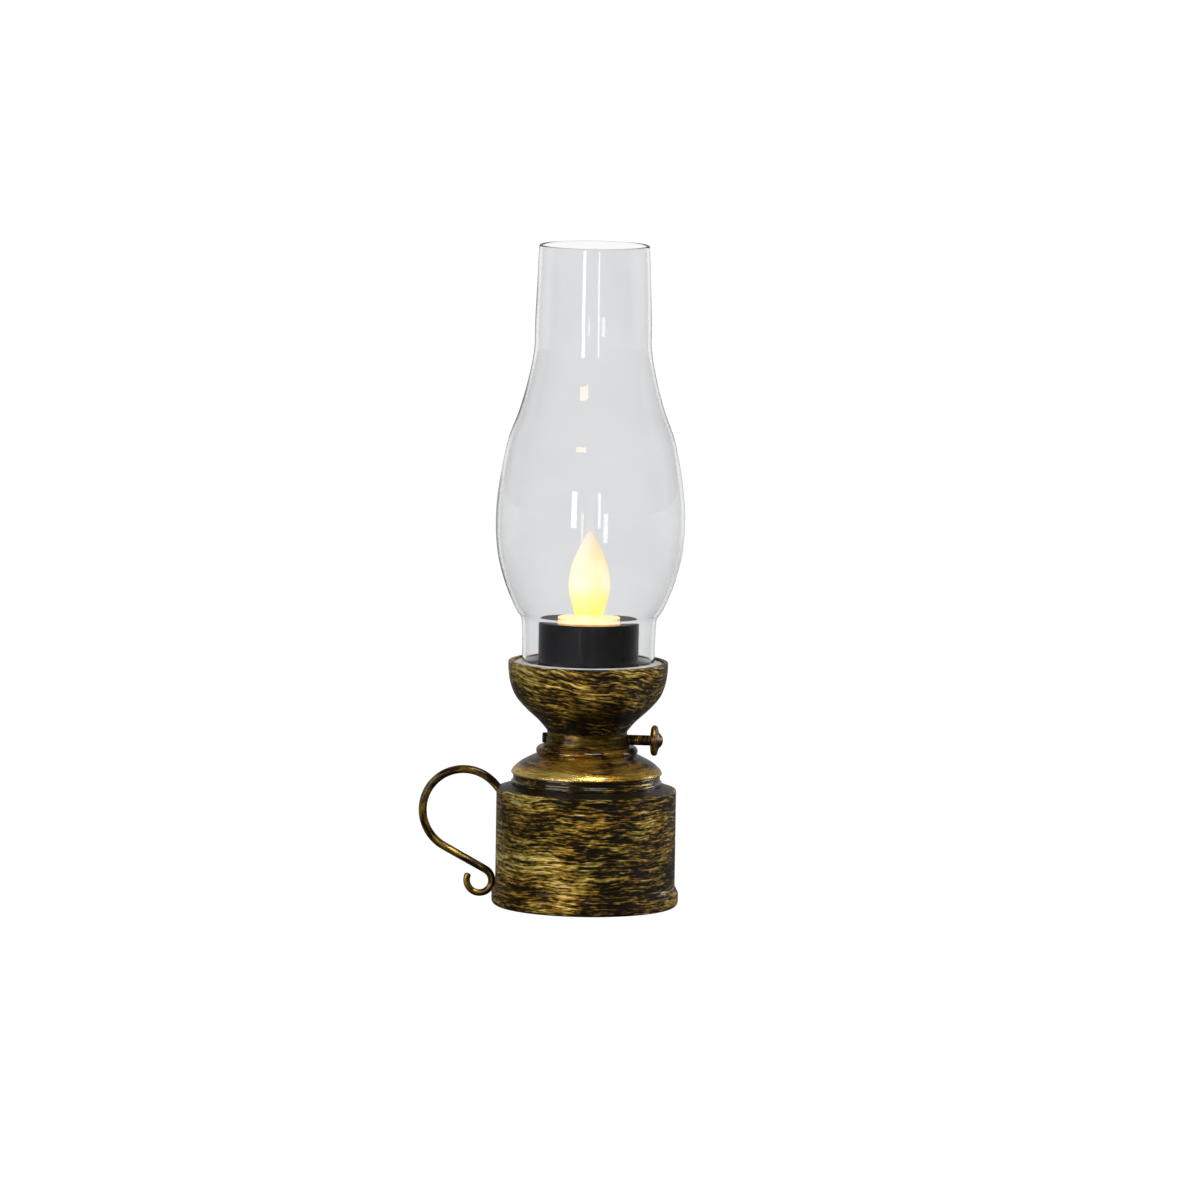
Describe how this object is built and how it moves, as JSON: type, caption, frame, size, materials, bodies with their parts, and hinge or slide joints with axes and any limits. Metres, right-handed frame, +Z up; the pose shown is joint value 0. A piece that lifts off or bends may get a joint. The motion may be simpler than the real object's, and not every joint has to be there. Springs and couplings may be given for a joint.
{
  "type": "oil lamp",
  "caption": "Small battery lamp shaped like an oil lamp: drum font with finger handle, shoulder, cup with wick knob, clear chimney and a lift-out candle with a glowing flame.",
  "frame": {"origin": "centre of the flat face the lamp stands on, on the lamp's vertical axis", "axes": "+Z up along the lamp's axis, +X to the wick knob, -X to the handle, -Y to the front that faces the viewer"},
  "size_m": [0.0735, 0.0528, 0.185],
  "materials": {
    "brushed_bronze": "black plastic dry-brushed with gold paint",
    "body_black": "glossy black plastic with a few gold brush marks",
    "candle_black": "glossy black",
    "clear_plastic": "clear, polished",
    "flame_plastic": "translucent, lit from inside",
    "led_lens": "clear amber",
    "contact_metal": "nickel plated",
    "cell_steel": "satin"
  },
  "bodies": {
    "lamp_body": {"font_body": "brushed_bronze", "base_plate": "body_black", "collar_ring": "body_black", "shoulder_dome": "brushed_bronze", "burner_neck": "brushed_bronze", "gallery_cup": "brushed_bronze", "candle_socket": "body_black", "finger_handle": "body_black"},
    "wick": {"wick_shaft": "body_black", "wick_knob": "body_black", "shaft_clips": "contact_metal"},
    "chimney": {"chimney": "clear_plastic"},
    "candle": {"candle_housing": "candle_black", "candle_base": "candle_black", "battery_carrier": "candle_black", "flame_diffuser": "flame_plastic", "led": "led_lens", "led_leads": "contact_metal", "coin_cell": "cell_steel", "contact_positive": "contact_metal", "contact_negative": "contact_metal"},
    "switch": {"switch_slider": "candle_black", "switch_wiper": "contact_metal"},
    "door": {"battery_door": "candle_black"}
  },
  "joints": [
    {"name": "wick_turn", "type": "hinge", "parent": "lamp_body", "child": "wick", "pos_m": [0.018, 0, 0.0468], "axis": [1, 0, 0], "continuous": true},
    {"name": "chimney_lift", "type": "slide", "parent": "lamp_body", "child": "chimney", "axis": [0, 0, 1], "range_m": [0, 0.06]},
    {"name": "candle_lift", "type": "slide", "parent": "lamp_body", "child": "candle", "axis": [0, 0, 1], "range_m": [0, 0.04]},
    {"name": "switch_slide", "type": "slide", "parent": "candle", "child": "switch", "axis": [-1, 0, 0], "range_m": [0, 0.0022]},
    {"name": "door_turn", "type": "hinge", "parent": "candle", "child": "door", "pos_m": [0, -0.0014, 0.062], "axis": [0, 0, 1], "range_deg": [0, 30]}
  ]
}
